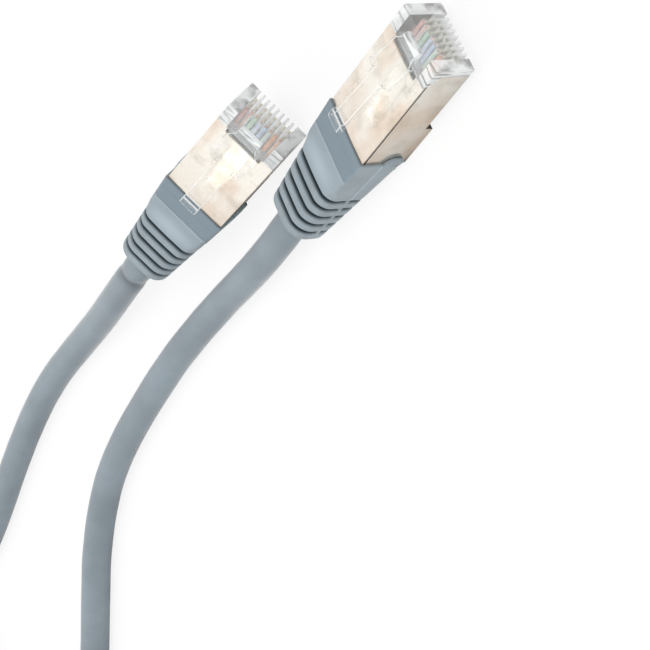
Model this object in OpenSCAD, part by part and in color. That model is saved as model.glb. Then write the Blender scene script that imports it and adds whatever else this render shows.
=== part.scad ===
// Shielded patch cable: an eight-way plug with a moulded boot on each end of a round cable.
// Millimetres, +Z up. The whole cable lies on the plane z = 0, and plug B points along -Y.
// A plug is drawn in its own frame: nose face at y = 0, cable side towards +Y,
// latch side towards +Z, contact 1 towards -X, and z = 0 halfway up the nose.

/* [Plug] */
// Width across the plug
plug_w = 11.68; // [11:0.02:12.4]
// Height of the nose, from its contact side to its latch side
nose_h = 6.6; // [6.2:0.1:7.2]
// Length from the nose face to the boot
plug_l = 22.4; // [21:0.2:25]
// Bare plastic ahead of the shield on the latch side
bare_top = 4.2; // [3.6:0.1:5]
// Bare plastic ahead of the shield's side walls
bare_side = 1.5; // [1:0.1:2]
// Height of the slanted corner at the front of each side wall
corner_drop = 1.8; // [1:0.1:2.4]
// Distance from the nose face to the heel
heel_y = 14; // [12.5:0.1:15]
// Depth of the heel below the contact side
heel_drop = 1.25; // [0.8:0.05:1.5]
// Length of the plastic housing
housing_l = 17.6; // [16.4:0.1:18.4]
// Thickness of the shield's sheet metal
shield_t = 0.3; // [0.2:0.05:0.4]
// Half width of the notch in the shield around the latch root
notch_half_w = 3.6; // [3.3:0.1:4.4]
// Depth of that notch
notch_l = 1; // [0.5:0.1:1.5]
// Length of shield that the boot covers
shield_tuck = 2; // [1:0.1:3]
// Length of the shield's crimped ring
crimp_l = 5; // [3:0.5:6]
// Gap between the shield's box and its crimped ring
crimp_gap = 2.2; // [1.5:0.1:3]

/* [Latch] */
// Width of the latch at its shoulders
latch_w = 6; // [5.6:0.1:6.4]
// Width of the latch lever
lever_w = 3.25; // [2.8:0.05:3.6]
// Width of the latch root
root_w = 4.2; // [3.4:0.1:5]
// Distance from the nose face to the latch hinge
hinge_y = 1.9; // [1.7:0.1:2.4]
// Distance from the nose face to the latch shoulders
shoulder_y = 8.2; // [7.4:0.1:9]
// Distance from the nose face to the lever's free end
lever_end_y = 19.9; // [18:0.1:20.6]
// Thickness of the lever
lever_t = 0.85; // [0.7:0.05:1]
// Height of the lever's free end above the nose
lever_rise = 3.7; // [3.3:0.1:4.2]
// Running gap under the latch root
latch_gap = 0.15; // [0.1:0.01:0.2]

/* [Contacts and wires] */
// Spacing of the contacts
pitch = 1.02; // [1:0.01:1.06]
// Thickness of a contact blade
contact_t = 0.35; // [0.25:0.01:0.45]
// Length of a contact blade
contact_l = 3.1; // [2.8:0.1:3.3]
// Depth of the contacts below the contact side
contact_sunk = 0.58; // [0.4:0.02:0.8]
// Width of a contact slot
slot_w = 0.62; // [0.5:0.01:0.7]
// Diameter of an insulated wire
wire_d = 0.82; // [0.76:0.01:0.88]
// Diameter of a wire's copper core
core_d = 0.48; // [0.4:0.01:0.55]
// Height of the row of wires above the plug's middle
row_z = 0.3; // [0.1:0.05:0.5]
// Length of the bar that spaces the wires
bar_l = 4.4; // [3.6:0.1:5]

/* [Boot] */
// Length of the boot
boot_l = 21.9; // [20:0.1:28]
// Thickness of the boot's wall at each side of the plug
boot_side = 0.36; // [0.2:0.02:0.9]
// Thickness of the boot's wall above the plug
boot_top = 0.45; // [0.3:0.05:1.1]
// Thickness of the boot's wall below the plug's heel
boot_under = 0.25; // [0.15:0.05:1.1]
// Radius of the boot's long edges
boot_r = 1.9; // [1.2:0.1:2.4]
// Radius of the boot's corners at its front
boot_front_r = 0.6; // [0.2:0.1:1.5]
// Length of the recessed band at the boot's front
band_l = 4.7; // [4:0.1:6]
// Depth of the recessed band
band_inset = 0.16; // [0.1:0.02:0.2]
// Distance from the boot's front to its first groove
groove_y = 10; // [8:0.1:13]
// Spacing of the grooves
groove_pitch = 2.3; // [2:0.1:2.5]
// Width of a groove
groove_w = 0.95; // [0.6:0.05:1.2]
// Depth of a groove
groove_depth = 0.8; // [0.4:0.1:1.1]
// Width of the boot at its cable end
boot_end_w = 9.2; // [8:0.1:10.4]
// Height of the boot at its cable end
boot_end_h = 7.6; // [7:0.1:8.4]
// How far the boot's lower half stands out at each side
lip_out = 0.2; // [0.1:0.05:0.4]
// Height of the parting line above the plug's middle
parting_z = -0.3; // [-0.8:0.1:0.2]

/* [Cable] */
// Diameter of the cable
cable_d = 5.5; // [5.2:0.1:6]
// Thickness of the cable's jacket
jacket_t = 0.5; // [0.4:0.05:0.55]
// Thickness of the foil under the jacket
foil_t = 0.1; // [0.05:0.01:0.12]
// Diameter of the drain wire
drain_d = 0.4; // [0.3:0.05:0.45]
// Diameter of the coil at the middle of its turns
coil_d = 58; // [54:1:70]
// Thickness of the tie around the coil
tie_t = 0.6; // [0.4:0.1:1]
// Width of the tie around the coil
tie_w = 10; // [6:1:14]

/* [Layout] */
// Turn of plug A about the vertical
plug_a_yaw = -4.6; // [-8:0.1:0]
// Lean of plug A about its own length
plug_a_roll = 32.3; // [25:0.1:40]

/* [Hidden] */
$fn = 48;

// Overlap that makes a cut run clear through a face
over = 1;
// Thickness of the discs that a hull is stretched between
disc = 0.1;
// Halves that many modules need
half_h = nose_h / 2;
cable_r = cable_d / 2;

// Lengths along the plug, from the nose face
shield_front_low = 8;
shield_end = plug_l + shield_tuck;
corner_relief = 1.4;
crimp_y = shield_end + crimp_gap;
crimp_t = 0.35;
neck_w = 4;
band_end = plug_l + band_l;
groove_start = plug_l + groove_y;
groove_count = 5;
collar_y = groove_start + groove_count * groove_pitch;
boot_end = plug_l + boot_l;
boot_end_r = boot_end_h / 2 - 0.8;
collar_in = 0.5;
collar_margin = 0.3;
web_half = 0.25;
// Outside of the boot: it follows the plug's own size
boot_w = plug_w + 2 * boot_side;
boot_high = half_h + boot_top;
boot_low = half_h + heel_drop + boot_under;

// Contacts: eight of them, each with two prongs that reach its wire's core
contact_count = 8;
contact_y = 0.9;
contact_nose_r = 0.6;
slot_top = -0.8;
shoulder_z = slot_top + 0.05;
prong_l = 0.75;
core_low = row_z - core_d / 2;

// Wires: a flat row through the nose and the spacer, then two rows of four in the cable
nose_wall = 1.05;
channel_d = wire_d + 0.1;
cavity_y = contact_y + contact_l + 0.9;
cavity_low = -2;
cavity_high = 1.9;
row_margin = 1.4;
cavity_w = contact_count * pitch + row_margin;
bar_clear = 0.05;
rise_y = cavity_y + bar_clear + bar_l + 0.25;
rise_l = 3;
gather_y = rise_y + rise_l;
gather_l = 6;
gathered_y = gather_y + gather_l;
foil_y = gathered_y - 0.6;
jacket_y = gathered_y + 0.4;
column_gap = 0.06;
row_gap = 0.6;
column_step = wire_d + column_gap;
row_rise = (wire_d + row_gap) / 2;
bend_steps = 4;

// Latch: heights above the nose's latch side
latch_root_h = 1;
shoulder_top = 2.75;
shoulder_t = 1;
root_front = hinge_y - 0.7;
root_back = hinge_y + 0.5;
root_flare = 1.2;
pad_l = 1.5;
pad_h = 0.35;

// The boot's side tongues, over the shield's side walls
tongue_r = 2;
tongue_l = 1.5;
tongue_tip = plug_l - tongue_l;
tongue_z = parting_z - 0.1 - tongue_r;

// Where the plugs stand: their lowest edges touch the floor
boot_lip_w = boot_w + 2 * lip_out;
plug_b_at = [-8.6, -41.8, max(boot_low, half_h + heel_drop)];
heel_reach = plug_w / 2 * sin(plug_a_roll) + (half_h + heel_drop) * cos(plug_a_roll);
boot_reach = (boot_lip_w / 2 - boot_r) * sin(plug_a_roll)
    + (boot_low - boot_r) * cos(plug_a_roll) + boot_r;
plug_a_at = [5.55, -2.75, max(heel_reach, boot_reach)];

// The coil: four turns side by side and on each other, on its tie
coil_at = [-16.9, 196.4, tie_t];
bundle = 2 * cable_d;

// Route of each lead from its boot to the coil: x, y and height above the cable's rest height
floor_z = cable_r;
exit_a = plug_a_at + [-boot_end * sin(plug_a_yaw), boot_end * cos(plug_a_yaw), 0];
exit_b = plug_b_at + [0, boot_end, 0];
route_a = [[10.1, 51.4, 3.6], [11, 58.9, 2.5], [12, 66.4, 1.3], [12.9, 73.4, 0.5], [13.7, 81.4, 0],
    [14, 90.4, 0], [13.2, 100.4, 0], [11.1, 111.4, 0], [8.1, 122.4, 0], [5, 132.9, 0],
    [2.9, 142.4, 0], [2.9, 151.9, 0], [5.1, 160.9, 0.1], [8.9, 169.4, 0.3], [12.3, 177.9, 0.5]];
route_b = [[-8.6, 9.4, 1.9], [-8.1, 16.4, 1.3], [-7.2, 23.9, 0.6], [-6.2, 32.4, 0.1],
    [-5.7, 42.4, 0], [-5.7, 52.4, 0], [-6.6, 64.4, 0], [-8.2, 76.4, 0], [-10.9, 86.4, 0],
    [-15.1, 94.4, 0], [-20.1, 100.9, 0], [-25.9, 106.6, 0], [-31.7, 112, 0], [-37.3, 117.8, 0],
    [-42.1, 124.6, 0], [-45.7, 132.4, 0], [-47.9, 141.4, 0], [-48.7, 151.4, 0.2],
    [-48.7, 161.4, 1], [-48.7, 171.4, 3.3], [-48.7, 182.4, 5.6]];
lead_sides = 12;

// Centre of contact i, counted from 0
function pin_x(i) = (i - (contact_count - 1) / 2) * pitch;
// Place of wire i in the cable's four columns and two rows
function column_x(i) = (floor(i / 2) - 1.5) * column_step;
function level_z(i) = (i % 2 == 0 ? 1 : -1) * row_rise;

// A lead's points: the boot's end, a straight first length and the route
function lead_points(start, way, route) =
    concat([start, start + 3 * way], [for (p = route) [p[0], p[1], p[2] + floor_z]]);
function unit(v) = v / norm(v);
// Direction of the path at point i: the way given at the start, and along its neighbours after
function heading(points, i, way) = i < 2 ? way
    : unit(points[min(i + 1, len(points) - 1)] - points[i - 1]);
// Point k of the ring around point i
function ring_point(points, i, k, way) =
    let (along = heading(points, i, way), side = unit(cross(along, [0, 0, 1])))
    let (rise = cross(side, along), turn = 360 * k / lead_sides)
    points[i] + cable_r * (cos(turn) * side + sin(turn) * rise);

// Draws a (y, z) outline as a solid of width w across the plug
module across(w) {
    rotate([90, 0, 90])
        linear_extrude(w, center = true)
            children();
}

// A round bar along the plug
module bar_along(x, z, y, l, d) {
    translate([x, y, z])
        rotate([-90, 0, 0])
            cylinder(h = l, d = d);
}

// A box given by its width, its ends along the plug and its lowest and highest z
module block(w, y0, y1, z0, z1) {
    translate([-w / 2, y0, z0])
        cube([w, y1 - y0, z1 - z0]);
}

// Four discs at the corners of a rounded rectangle that faces along the plug
module corner_discs(w, z0, z1, r, y) {
    disc_pair(w, z0 + r, r, y);
    disc_pair(w, z1 - r, r, y);
}

// Two thin discs at height z, at the sides of a section of width w
module disc_pair(w, z, r, y) {
    for (x = [r - w / 2, w / 2 - r])
        translate([x, y, z])
            rotate([-90, 0, 0])
                cylinder(h = disc, r = r, $fn = 32);
}

// A square with round corners, its centre at the origin
module rounded_square(w, h, r) {
    square([w, h - 2 * r], center = true);
    square([w - 2 * r, h], center = true);
    for (x = [r - w / 2, w / 2 - r], y = [r - h / 2, h / 2 - r])
        translate([x, y])
            circle(r);
}

// A bar along the plug with the boot's rounded section
module rounded_bar(w, z0, z1, y0, y1) {
    translate([0, y0, (z0 + z1) / 2])
        rotate([-90, 0, 0])
            linear_extrude(y1 - y0)
                rounded_square(w, z1 - z0, boot_r);
}

module plug_a() {
    translate(plug_a_at)
        rotate([0, 0, plug_a_yaw])
            rotate([0, -plug_a_roll, 0])
                children();
}

module plug_b() {
    translate(plug_b_at)
        children();
}

// Side outline of one contact blade
module contact_outline() {
    low = contact_sunk - half_h;
    top = shoulder_z;
    r = contact_nose_r;
    translate([contact_y + r, low])
        square([contact_l - r, top - low]);
    translate([contact_y, low + r])
        square([r, top - low - r]);
    translate([contact_y + r, low + r])
        circle(r);
    for (y = [contact_y + 0.45, contact_y + contact_l - 0.3 - prong_l])
        translate([y, top - 0.1])
            square([prong_l, core_low - top + 0.1]);
}

module contact_blade(i) {
    translate([pin_x(i), 0, 0])
        across(contact_t)
            contact_outline();
}

// The eight gold-plated contact blades
module contacts() {
    color([0.86, 0.68, 0.3])
        for (i = [0 : contact_count - 1])
            contact_blade(i);
}

// Outline of the clear body inside the shield
module housing_outline() {
    t = shield_t;
    polygon([[0, -half_h], [shield_front_low, -half_h], [shield_front_low, t - half_h],
        [heel_y + t, t - half_h], [heel_y + t, t - half_h - heel_drop],
        [housing_l, t - half_h - heel_drop], [housing_l, half_h - t],
        [bare_top, half_h - t], [bare_top, half_h], [0, half_h]]);
}

// Outline of the bare nose, as wide as the shield outside
module nose_outline() {
    polygon([[0, -half_h], [bare_side, -half_h], [bare_side, half_h - corner_drop],
        [bare_top, half_h], [0, half_h]]);
}

// The clear plastic body with its contact slots, wire channels and cable cavity
module housing() {
    color([0.86, 0.88, 0.9, 0.5])
        difference() {
            union() {
                across(plug_w - 2 * shield_t)
                    housing_outline();
                across(plug_w)
                    nose_outline();
            }
            for (i = [0 : contact_count - 1]) {
                translate([pin_x(i), 0, 0])
                    block(slot_w, -over, contact_y + contact_l + 0.3, -half_h - over, slot_top);
                translate([pin_x(i), 0, 0])
                    block(contact_t, contact_y, contact_y + contact_l, slot_top - 0.1, row_z);
                bar_along(pin_x(i), row_z, nose_wall, cavity_y, channel_d);
            }
            block(cavity_w, cavity_y, housing_l + over, cavity_low, cavity_high);
        }
}

// Side outline of the latch, from its root to its lever's free end
module latch_outline() {
    end_low = lever_rise - lever_t;
    polygon([[root_front, latch_gap], [root_back, latch_gap], [root_back + 0.5, 0.45],
        [shoulder_y, shoulder_top - shoulder_t], [lever_end_y, end_low],
        [lever_end_y, lever_rise + pad_h], [lever_end_y - pad_l, lever_rise + pad_h - 0.05],
        [lever_end_y - pad_l - 0.4, lever_rise - 0.15], [shoulder_y, shoulder_top],
        [root_front + 0.7, latch_root_h], [root_front, 0.5]]);
}

// Plan of the latch: root, shoulders and lever
module latch_plan() {
    polygon([[-root_w / 2, root_front - over], [root_w / 2, root_front - over],
        [root_w / 2, root_back], [latch_w / 2, root_back + root_flare], [latch_w / 2, shoulder_y],
        [lever_w / 2, shoulder_y + 0.3], [lever_w / 2, lever_end_y + over],
        [-lever_w / 2, lever_end_y + over], [-lever_w / 2, shoulder_y + 0.3],
        [-latch_w / 2, shoulder_y], [-latch_w / 2, root_back + root_flare], [-root_w / 2, root_back]]);
}

// The clear locking latch, which hinges at its root
module latch() {
    color([0.88, 0.9, 0.92, 0.6])
        translate([0, 0, half_h])
            intersection() {
                across(latch_w + over)
                    latch_outline();
                linear_extrude(lever_rise + over)
                    latch_plan();
            }
}

// The bar that holds the wires in a flat row
module wire_spacer() {
    y0 = cavity_y + bar_clear;
    color([0.92, 0.93, 0.93])
        difference() {
            block(cavity_w - 2 * bar_clear, y0, y0 + bar_l,
                cavity_low + bar_clear, cavity_high - bar_clear);
            for (i = [0 : contact_count - 1])
                bar_along(pin_x(i), row_z, y0 - over, bar_l + 2 * over, channel_d);
        }
}

// Outline of the shield's side walls
module shield_outline() {
    polygon([[bare_side, -half_h], [heel_y, -half_h], [heel_y, -half_h - heel_drop],
        [shield_end, -half_h - heel_drop], [shield_end, half_h], [bare_top, half_h],
        [bare_side, half_h - corner_drop]]);
}

// Outline of the space inside the shield
module shield_space() {
    t = shield_t;
    low = -half_h - heel_drop - over;
    polygon([[0, low], [shield_front_low, low], [shield_front_low, t - half_h],
        [heel_y + t, t - half_h], [heel_y + t, t - half_h - heel_drop],
        [shield_end + over, t - half_h - heel_drop], [shield_end + over, half_h - t],
        [bare_top, half_h - t], [bare_top, half_h + over], [0, half_h + over]]);
}

// The crimped ring around the cable and the neck that joins it to the box
module crimp() {
    bar_along(0, 0, crimp_y, crimp_l, cable_d + 2 * crimp_t);
    block(neck_w, shield_end - 1, crimp_y + crimp_l, cable_r - 0.3, half_h);
}

// The lower corners that the shield's tucked end leaves free, so that the boot keeps its wall there
module heel_corners() {
    low = -half_h - heel_drop;
    difference() {
        block(plug_w + over, plug_l, shield_end + over, low - over, low + corner_relief);
        block(plug_w - 2 * corner_relief, plug_l - over, shield_end + 2 * over,
            low - 2 * over, low + corner_relief + over);
    }
}

// The folded sheet-metal shield with its crimped ring
module shield() {
    color([0.78, 0.76, 0.72])
        difference() {
            union() {
                difference() {
                    across(plug_w)
                        shield_outline();
                    across(plug_w - 2 * shield_t)
                        shield_space();
                    block(2 * notch_half_w, 0, bare_top + notch_l, half_h - shield_t - 0.1, half_h + over);
                }
                crimp();
            }
            bar_along(0, 0, heel_y, crimp_y + crimp_l, cable_d);
            heel_corners();
        }
}

// One side outline of the tongues that reach forward over the shield
module tongue_outline() {
    translate([tongue_tip + tongue_r, tongue_z])
        circle(tongue_r);
    translate([tongue_tip + tongue_r, tongue_z - tongue_r])
        square([tongue_r / 2, 2 * tongue_r]);
}

// The boot's outside, before its hollow is cut
module boot_outside() {
    difference() {
        boot_body(0);
        block(boot_lip_w + over, plug_l - over, band_end, boot_high - band_inset, boot_high + over);
    }
    intersection() {
        boot_body(lip_out);
        block(boot_lip_w + over, plug_l, groove_start, -boot_low - over, parting_z);
    }
    intersection() {
        boot_tail(0);
        union() {
            for (i = [1 : groove_count])
                block(boot_w + over, groove_start + i * groove_pitch - (groove_pitch - groove_w),
                    groove_start + i * groove_pitch, -boot_low - over, boot_high + over);
            block(boot_w + over, groove_start, boot_end, parting_z - web_half, parting_z + web_half);
        }
    }
    boot_tail(groove_depth);
    hull() {
        corner_discs(boot_end_w, -boot_end_h / 2, boot_end_h / 2, boot_end_r, collar_y - disc);
        corner_discs(boot_end_w - 2 * collar_in, collar_in - boot_end_h / 2, boot_end_h / 2 - collar_in,
            boot_end_r - collar_in, boot_end - disc);
    }
    difference() {
        intersection() {
            across(boot_lip_w)
                tongue_outline();
            rounded_bar(boot_lip_w, -boot_low, boot_high, tongue_tip, groove_start);
        }
        across(plug_w)
            tongue_outline();
    }
}

// How far along the boot's taper a place is, from 0 at its front to 1 at its collar
function taper(y) = (y - plug_l) / (collar_y - plug_l);
function blend(a, b, t) = a + (b - a) * t;
// Radius of the boot's upper corners: it grows to the grooves and then to the collar
function upper_r(y) = y < groove_start
    ? blend(boot_front_r, boot_r, (y - plug_l) / (groove_start - plug_l))
    : blend(boot_r, boot_end_r, (y - groove_start) / (collar_y - groove_start));

// The boot's section at y: wider by out at each side, and smaller all round by depth
module boot_section(y, out, depth) {
    w = blend(boot_w, boot_end_w + collar_margin, taper(y)) + 2 * (out - depth);
    high_r = upper_r(y) - depth;
    low_r = blend(boot_r, boot_end_r, taper(y)) - depth;
    disc_pair(w, blend(boot_high, boot_end_h / 2, taper(y)) - depth - high_r, high_r, y);
    disc_pair(w, depth - blend(boot_low, boot_end_h / 2, taper(y)) + low_r, low_r, y);
}

// The plain front of the boot, from its front edge to its grooves
module boot_body(out) {
    hull() {
        boot_section(plug_l, out, 0);
        boot_section(groove_start - disc, out, 0);
    }
}

// The grooved end of the boot, smaller all round by the given depth
module boot_tail(depth) {
    hull() {
        boot_section(groove_start - disc, 0, depth);
        boot_section(collar_y, 0, depth);
    }
}

// The moulded boot over the shield's end and the cable
module boot() {
    color([0.6, 0.65, 0.68])
        difference() {
            boot_outside();
            difference() {
                block(plug_w, plug_l - over, shield_end, -half_h - heel_drop, half_h);
                heel_corners();
            }
            crimp();
            bar_along(0, 0, plug_l, boot_l + over, cable_d);
        }
}

// The end of the cable's jacket, from inside the shield to the end of the boot
module jacket_end() {
    color([0.54, 0.58, 0.61])
        difference() {
            bar_along(0, 0, jacket_y, boot_end - jacket_y, cable_d);
            bar_along(0, 0, jacket_y - over, boot_l + plug_l, cable_d - 2 * jacket_t);
        }
}

// The foil around the wires
module foil_wrap() {
    d = cable_d - 2 * jacket_t;
    color([0.8, 0.81, 0.82])
        difference() {
            bar_along(0, 0, foil_y, boot_end - foil_y, d);
            bar_along(0, 0, foil_y - over, boot_l + plug_l, d - 2 * foil_t);
        }
}

// The bare drain wire inside the foil
module drain_wire() {
    x = cable_r - jacket_t - foil_t - drain_d / 2 - 0.02;
    color([0.8, 0.78, 0.74])
        bar_along(x, 0, foil_y, boot_end - foil_y, drain_d);
}

// Ring of n points around a wire's path, with flats at the bottom and the top
function wire_ring(at, d, n) = [for (k = [0 : n - 1])
    let (turn = 360 * (k + 0.5) / n - 90)
    at + d / 2 / cos(180 / n) * [cos(turn), 0, sin(turn)]];
// Path of wire i: along the row, up or down to its level, over to its column, along the cable
function wire_path(i) = concat([[pin_x(i), nose_wall, row_z]],
    [for (t = [0 : 1 / bend_steps : 1])
        [pin_x(i), rise_y + t * rise_l, row_z + (level_z(i) - row_z) * eased(t)]],
    [for (t = [1 / bend_steps : 1 / bend_steps : 1])
        [pin_x(i) + (column_x(i) - pin_x(i)) * eased(t), gather_y + t * gather_l, level_z(i)]],
    [[column_x(i), boot_end, level_z(i)]]);
function eased(t) = t * t * (3 - 2 * t);
// The same path, run past both ends
function longer(path) = [for (i = [0 : len(path) - 1])
    path[i] + (i == 0 ? [0, -over, 0] : i == len(path) - 1 ? [0, over, 0] : [0, 0, 0])];

// A bar of n sides along a path that runs along the plug
module wire_bar(path, d, n) {
    last = len(path) - 1;
    ring = [for (k = [0 : n - 1]) k];
    polyhedron(
        points = [for (at = path) each wire_ring(at, d, n)],
        faces = concat(
            [[for (k = ring) n - 1 - k]],
            [for (i = [0 : last - 1], k = ring)
                [i * n + k, i * n + (k + 1) % n, (i + 1) * n + (k + 1) % n, (i + 1) * n + k]],
            [[for (k = ring) last * n + k]]));
}

// The insulation of wire i, slit where its contact goes in
module wire(i, paint) {
    color(paint)
        difference() {
            wire_bar(wire_path(i), wire_d, 8);
            wire_bar(longer(wire_path(i)), core_d, 6);
            contact_blade(i);
        }
}

// The copper cores of all eight wires
module copper_cores() {
    color([0.8, 0.5, 0.3])
        for (i = [0 : contact_count - 1])
            wire_bar(wire_path(i), core_d, 6);
}

// A lead: one tube swept along its points
module lead(start, way, route) {
    points = lead_points(start, way, route);
    last = len(points) - 1;
    n = lead_sides;
    ring = [for (k = [0 : n - 1]) k];
    color([0.54, 0.58, 0.61])
        polyhedron(
            points = [for (i = [0 : last], k = ring) ring_point(points, i, k, way)],
            faces = concat(
                [[for (k = ring) n - 1 - k]],
                [for (i = [0 : last - 1], k = ring)
                    [i * n + k, i * n + (k + 1) % n, (i + 1) * n + (k + 1) % n, (i + 1) * n + k]],
                [[for (k = ring) last * n + k]]));
}

module cable_lead_a() {
    lead(exit_a, [-sin(plug_a_yaw), cos(plug_a_yaw), 0], route_a);
}

module cable_lead_b() {
    lead(exit_b, [0, 1, 0], route_b);
}

// The outer shape of the coiled cable
module cable_coil() {
    color([0.54, 0.58, 0.61])
        translate(coil_at)
            rotate_extrude($fn = 96)
                translate([coil_d / 2, bundle / 2])
                    rounded_square(bundle, bundle, cable_r);
}

// The tie around the coil
module coil_tie() {
    span = tie_w / (coil_d / 2) * 180 / PI;
    color([0.16, 0.17, 0.18])
        translate(coil_at)
            rotate([0, 0, 90 - span / 2])
                rotate_extrude(angle = span, $fn = 96)
                    translate([coil_d / 2, bundle / 2])
                        difference() {
                            rounded_square(bundle + 2 * tie_t, bundle + 2 * tie_t, cable_r + tie_t);
                            rounded_square(bundle, bundle, cable_r);
                        }
}

white = [0.92, 0.91, 0.88];
orange = [0.9, 0.45, 0.15];
green = [0.2, 0.55, 0.35];
blue = [0.25, 0.4, 0.75];
brown = [0.5, 0.3, 0.2];

plug_a() housing();  // housing_a
plug_a() latch();  // latch_a
plug_a() contacts();  // contacts_a
plug_a() wire_spacer();  // wire_spacer_a
plug_a() shield();  // shield_a
plug_a() boot();  // boot_a
plug_a() jacket_end();  // jacket_end_a
plug_a() foil_wrap();  // foil_wrap_a
plug_a() drain_wire();  // drain_wire_a
plug_a() wire(0, white);  // wire_white_orange_a
plug_a() wire(1, orange);  // wire_orange_a
plug_a() wire(2, white);  // wire_white_green_a
plug_a() wire(3, blue);  // wire_blue_a
plug_a() wire(4, white);  // wire_white_blue_a
plug_a() wire(5, green);  // wire_green_a
plug_a() wire(6, white);  // wire_white_brown_a
plug_a() wire(7, brown);  // wire_brown_a
plug_a() copper_cores();  // copper_cores_a
plug_b() housing();  // housing_b
plug_b() latch();  // latch_b
plug_b() contacts();  // contacts_b
plug_b() wire_spacer();  // wire_spacer_b
plug_b() shield();  // shield_b
plug_b() boot();  // boot_b
plug_b() jacket_end();  // jacket_end_b
plug_b() foil_wrap();  // foil_wrap_b
plug_b() drain_wire();  // drain_wire_b
plug_b() wire(0, white);  // wire_white_orange_b
plug_b() wire(1, orange);  // wire_orange_b
plug_b() wire(2, white);  // wire_white_green_b
plug_b() wire(3, blue);  // wire_blue_b
plug_b() wire(4, white);  // wire_white_blue_b
plug_b() wire(5, green);  // wire_green_b
plug_b() wire(6, white);  // wire_white_brown_b
plug_b() wire(7, brown);  // wire_brown_b
plug_b() copper_cores();  // copper_cores_b
cable_lead_a();
cable_lead_b();
cable_coil();
coil_tie();
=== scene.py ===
import bpy
import bmesh
import math
from contextlib import contextmanager
from bpy.props import FloatProperty, FloatVectorProperty, IntProperty, PointerProperty
from mathutils import Matrix, Vector


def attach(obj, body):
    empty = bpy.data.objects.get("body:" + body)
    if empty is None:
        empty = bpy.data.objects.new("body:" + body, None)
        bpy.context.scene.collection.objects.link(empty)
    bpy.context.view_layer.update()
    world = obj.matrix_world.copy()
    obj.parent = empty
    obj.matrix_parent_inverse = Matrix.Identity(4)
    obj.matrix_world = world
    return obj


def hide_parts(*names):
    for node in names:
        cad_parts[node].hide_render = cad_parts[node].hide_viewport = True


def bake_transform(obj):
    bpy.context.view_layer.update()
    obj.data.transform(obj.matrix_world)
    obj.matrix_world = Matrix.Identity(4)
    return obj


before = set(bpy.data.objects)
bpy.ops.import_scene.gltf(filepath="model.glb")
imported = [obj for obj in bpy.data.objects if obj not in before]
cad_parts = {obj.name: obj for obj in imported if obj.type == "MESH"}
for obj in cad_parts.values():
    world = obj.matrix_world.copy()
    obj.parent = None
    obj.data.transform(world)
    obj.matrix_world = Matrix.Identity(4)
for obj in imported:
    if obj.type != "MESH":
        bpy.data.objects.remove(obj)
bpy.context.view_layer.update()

bl_info = {
    "name": "Ethernet Patch Cable",
    "version": (1, 0, 0),
    "blender": (4, 5, 0),
    "location": "3D View > Sidebar > Patch Cable",
    "description": "Dresses a shielded ethernet patch cable: plugs, boots, cable and stage",
    "category": "Object",
}

MM = 0.001

# Sizes of a plug in millimetres, along its own axes: y from the nose to the cable, z to the latch side
PLUG_W = 11.68
HALF_H = 3.3
HEEL_DROP = 1.25
PLUG_L = 22.4
SHIELD_END = 24.4
BAND_END = 27.1
GROOVE_START = 32.4
COLLAR_Y = 43.9
BOOT_END = 44.3
PLUG_A_YAW = math.radians(-4.6)
PLUG_A_ROLL = math.radians(32.3)
PLUG_A_AT = (5.55, -2.75, PLUG_W / 2 * math.sin(PLUG_A_ROLL) + (HALF_H + HEEL_DROP) * math.cos(PLUG_A_ROLL))
PLUG_B_AT = (-8.6, -41.8, 4.8)
PLUGS = ("a", "b")

# The shield's seam and heel, in the same millimetres
SEAM_TOP = 2.98
SEAM_DEPTH = 0.16
HEEL_FRONT = 14

# The nose: its clear window, the frosted flanks beside it with painted grey streaks, and the milky comb
# between the contacts
WINDOW_HALF_W = 3.9
FLANK_X = 4.3
FLANK_Z = 2.0
COMB_TOP = -0.78
NOSE_FINISH_END = 4.5

# The latch: its root, which is sunk into the nose and frosted, and the short height where a real latch bends,
# which gets extra cuts here
ROOT_FRONT = 1
ROOT_BACK = 2.6
ROOT_UNDERSIDE = 3.6
ROOT_SINK = 0.33
ROOT_FINISH_END = 2.7
BEND_START = 3.35
BEND_END = 4.0
BEND_CUTS = 5

# Which of a mesh's material slots its rounded edges, its frosted faces, its comb and the painted shade in its
# gaps use
EDGE_SLOT = 1
FROST_SLOT = 2
COMB_SLOT = 3
GAP_SHADE_SLOT = 1

# Degrees past which an edge is rounded, and past which it stays sharp on the plug and on the boot
EDGE_ANGLE = 32
FOLD_ANGLE = 35
BOOT_FOLD_ANGLE = 50

# The boot: half width, bottom, top and lower corner radius at its front, and where its collar begins
BOOT_FRONT = (6.2, -4.8, 3.75, 1.9)
BOOT_BACK = (4.75, -3.8, 3.8, 3.0)

# The boot's upper corners: they round quickly from here on, up to the grooves
ROUNDING_START = 29
UPPER_CORNER_FRONT = 0.5
UPPER_CORNER_EDGE = 0.9
UPPER_CORNER_BODY = 1.9
UPPER_CORNER_BACK = 3.0

# The boot's ends, the ledge on its band, where its crown ends, and where the painted highlight on its crown
# is brightest, ahead of the grooves
FRONT_ROUND = 0.12
COLLAR_HALF_W = 4.6
COLLAR_ROUND = 0.5
COLLAR_INSET = 0.15
LEDGE_Y = 24.3
LEDGE = 0.05
CROWN_FADE_Y = 40
GLEAM_Y = 30.3
GLEAM_L = 1.6

# The boot's inside: room for the crimped ring, then a close hole for the cable
CRIMP_END = 31.6
CRIMP_ROOM_R = 3.1
CABLE_HOLE_R = 2.74

# The line where the boot's mould halves meet, the lip below it and the rows of points beside it
PARTING_Z = -0.3
PARTING_HALF_W = 0.23
LIP = 0.2
PARTING_ROWS = [-0.6, -0.55, -0.5, -0.33, -0.27, -0.1, -0.05, 0]

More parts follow.
